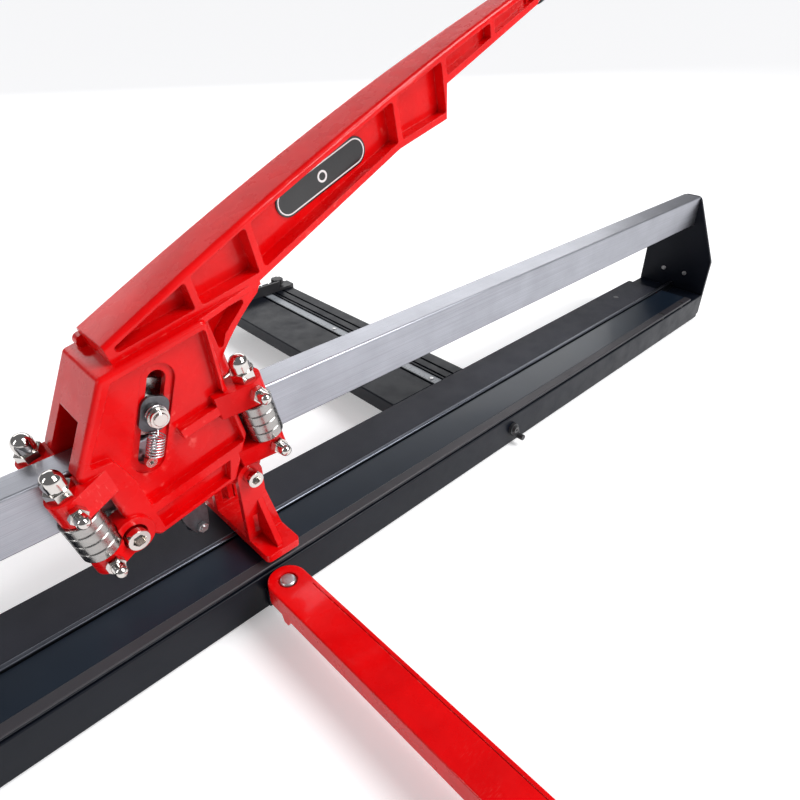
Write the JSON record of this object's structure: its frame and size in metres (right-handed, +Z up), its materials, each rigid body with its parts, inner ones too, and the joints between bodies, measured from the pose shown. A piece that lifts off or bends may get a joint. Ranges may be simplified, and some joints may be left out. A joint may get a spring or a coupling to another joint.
{
  "type": "manual tile cutter",
  "caption": "Manual rail tile cutter: long base with sprung platforms, guide rail between end plates, and a rolling cast carriage with a long scoring and breaking handle.",
  "frame": {"origin": "centre of the base's underside, on the rubber feet", "axes": "+X along the rail, towards the end the handle points at; +Y to the rear, towards the wide support arm; +Z up"},
  "size_m": [1.417, 1.0481, 0.6021],
  "materials": {
    "red_paint": "gloss",
    "black_aluminium": "satin anodised",
    "brushed_aluminium": "brushed",
    "ridge_aluminium": "satin",
    "chrome": "polished",
    "zinc_steel": "plated",
    "dark_screw": "black oxide",
    "bearing_steel": "ground",
    "slide_steel": "satin",
    "spring_steel": "bright",
    "carbide": "ground",
    "foot_rubber": "matt",
    "grip_rubber": "moulded",
    "rear_pad": "grainy",
    "front_pad": "gloss",
    "edge_strip": "matt",
    "badge": "printed",
    "ruler": "printed",
    "black_plastic": "moulded"
  },
  "bodies": {
    "base": {"base_extrusion": "black_aluminium", "breaking_ridge": "ridge_aluminium", "rubber_feet": "foot_rubber", "guide_rail": "brushed_aluminium", "rail_plugs": "brushed_aluminium", "end_plate_left": "black_aluminium", "end_plate_right": "black_aluminium", "end_plate_screws": "dark_screw", "rail_end_screws": "dark_screw", "plate_rivets": "zinc_steel", "platform_screws": "dark_screw", "front_platform_springs": "foot_rubber", "rear_platform_springs": "foot_rubber", "front_arm_bracket": "black_aluminium", "front_arm_pin": "zinc_steel", "lever_pin": "dark_screw"},
    "front_platform": {"front_platform": "black_aluminium", "front_pad": "front_pad", "front_edge_strip": "edge_strip"},
    "rear_platform": {"rear_platform": "black_aluminium", "rear_pad": "rear_pad"},
    "truck": {"truck_axle": "chrome", "axle_nut": "zinc_steel", "axle_spacers": "zinc_steel"},
    "top_roller": {"top_roller": "bearing_steel"},
    "slide": {"slide_blocks": "slide_steel"},
    "carriage": {"carriage_casting": "red_paint", "handle_grip": "grip_rubber", "handle_badges": "badge", "guide_axles": "zinc_steel", "axle_cap_nuts": "chrome", "adjuster_screws": "zinc_steel", "adjuster_cap_nuts": "chrome", "fulcrum_bolt": "chrome", "fulcrum_nut": "zinc_steel", "wheel_holder": "slide_steel", "wheel_pin": "zinc_steel", "wheel_pin_nut": "zinc_steel", "spring_screws": "chrome", "breaker_bolt": "chrome", "breaker_nut": "zinc_steel", "lift_spring_front": "spring_steel", "lift_spring_rear": "spring_steel"},
    "guide_stack_front_left": {"guide_rollers_front_left": "bearing_steel"},
    "guide_stack_front_right": {"guide_rollers_front_right": "bearing_steel"},
    "guide_stack_rear_left": {"guide_rollers_rear_left": "bearing_steel"},
    "guide_stack_rear_right": {"guide_rollers_rear_right": "bearing_steel"},
    "fulcrum_roller": {"fulcrum_roller": "bearing_steel"},
    "scoring_wheel": {"scoring_wheel": "carbide"},
    "breaker_foot": {"breaker_foot": "red_paint"},
    "front_arm": {"front_arm": "red_paint"},
    "rear_arm": {"rear_arm": "black_aluminium", "rear_arm_bars": "zinc_steel", "rear_arm_brackets": "black_aluminium", "arm_ruler": "ruler", "ruler_screws": "zinc_steel"},
    "arm_stop": {"measuring_stop": "black_plastic"},
    "stop_knob": {"stop_knob": "black_plastic"},
    "lock_lever": {"lock_lever": "black_plastic"}
  },
  "joints": [
    {"name": "front_platform_dip", "type": "slide", "parent": "base", "child": "front_platform", "axis": [0, 0, -1], "range_m": [0, 0.002], "stiffness_N_per_m": 6000, "springref_m": -0.003, "deforming": ["front_platform_springs"]},
    {"name": "rear_platform_dip", "type": "slide", "parent": "base", "child": "rear_platform", "axis": [0, 0, -1], "range_m": [0, 0.002], "stiffness_N_per_m": 6000, "springref_m": -0.003, "deforming": ["rear_platform_springs"]},
    {"name": "carriage_travel", "type": "slide", "parent": "base", "child": "truck", "axis": [1, 0, 0], "range_m": [-0.26, 0.835]},
    {"name": "top_roller_spin", "type": "hinge", "parent": "truck", "child": "top_roller", "pos_m": [-0.314, 0, 0.244], "axis": [0, 1, 0], "continuous": true},
    {"name": "handle_pitch", "type": "hinge", "parent": "truck", "child": "slide", "pos_m": [-0.314, 0, 0.244], "axis": [0, -1, 0], "range_deg": [0, 8]},
    {"name": "slot_lift", "type": "slide", "parent": "slide", "child": "carriage", "axis": [0.3223, 0, 0.9466], "range_m": [-0.003, 0], "stiffness_N_per_m": 2500, "springref_m": 0.02, "deforming": ["lift_spring_front", "lift_spring_rear"]},
    {"name": "guide_spin_front_left", "type": "hinge", "parent": "carriage", "child": "guide_stack_front_left", "pos_m": [-0.38517, -0.0313, 0.16999], "axis": [-0.2079, 0, 0.9781], "continuous": true},
    {"name": "guide_spin_front_right", "type": "hinge", "parent": "carriage", "child": "guide_stack_front_right", "pos_m": [-0.22573, -0.0313, 0.20388], "axis": [-0.2079, 0, 0.9781], "continuous": true},
    {"name": "guide_spin_rear_left", "type": "hinge", "parent": "carriage", "child": "guide_stack_rear_left", "pos_m": [-0.38517, 0.0313, 0.16999], "axis": [-0.2079, 0, 0.9781], "continuous": true},
    {"name": "guide_spin_rear_right", "type": "hinge", "parent": "carriage", "child": "guide_stack_rear_right", "pos_m": [-0.22573, 0.0313, 0.20388], "axis": [-0.2079, 0, 0.9781], "continuous": true},
    {"name": "fulcrum_spin", "type": "hinge", "parent": "carriage", "child": "fulcrum_roller", "pos_m": [-0.35641, 0, 0.15013], "axis": [0, 1, 0], "continuous": true},
    {"name": "wheel_spin", "type": "hinge", "parent": "carriage", "child": "scoring_wheel", "pos_m": [-0.29085, 0, 0.09659], "axis": [0, 1, 0], "continuous": true},
    {"name": "breaker_swing", "type": "hinge", "parent": "carriage", "child": "breaker_foot", "pos_m": [-0.24516, 0, 0.14618], "axis": [0, -1, 0], "range_deg": [0, 60]},
    {"name": "front_arm_swing", "type": "hinge", "parent": "base", "child": "front_arm", "pos_m": [-0.2513, -0.0853, 0.04], "axis": [0, 0, 1], "range_deg": [-90, 0]},
    {"name": "rear_arm_extend", "type": "slide", "parent": "base", "child": "rear_arm", "axis": [0, 1, 0], "range_m": [0, 0.08]},
    {"name": "stop_slide", "type": "slide", "parent": "rear_arm", "child": "arm_stop", "axis": [0, 1, 0], "range_m": [-0.4, 0.01]},
    {"name": "knob_turn", "type": "hinge", "parent": "arm_stop", "child": "stop_knob", "pos_m": [0.146, 0.5008, 0.062], "axis": [0, 0, 1], "continuous": true},
    {"name": "lock_lever_turn", "type": "hinge", "parent": "base", "child": "lock_lever", "pos_m": [0.13, -0.063, 0.028], "axis": [0, 1, 0], "range_deg": [0, 60]}
  ],
  "couplings": [
    {"joint": "top_roller_spin", "follows": "carriage_travel", "rad_per_m": 38.91},
    {"joint": "guide_spin_front_left", "follows": "carriage_travel", "rad_per_m": 62.5},
    {"joint": "guide_spin_front_right", "follows": "carriage_travel", "rad_per_m": 62.5},
    {"joint": "guide_spin_rear_left", "follows": "carriage_travel", "rad_per_m": -62.5},
    {"joint": "guide_spin_rear_right", "follows": "carriage_travel", "rad_per_m": -62.5}
  ]
}
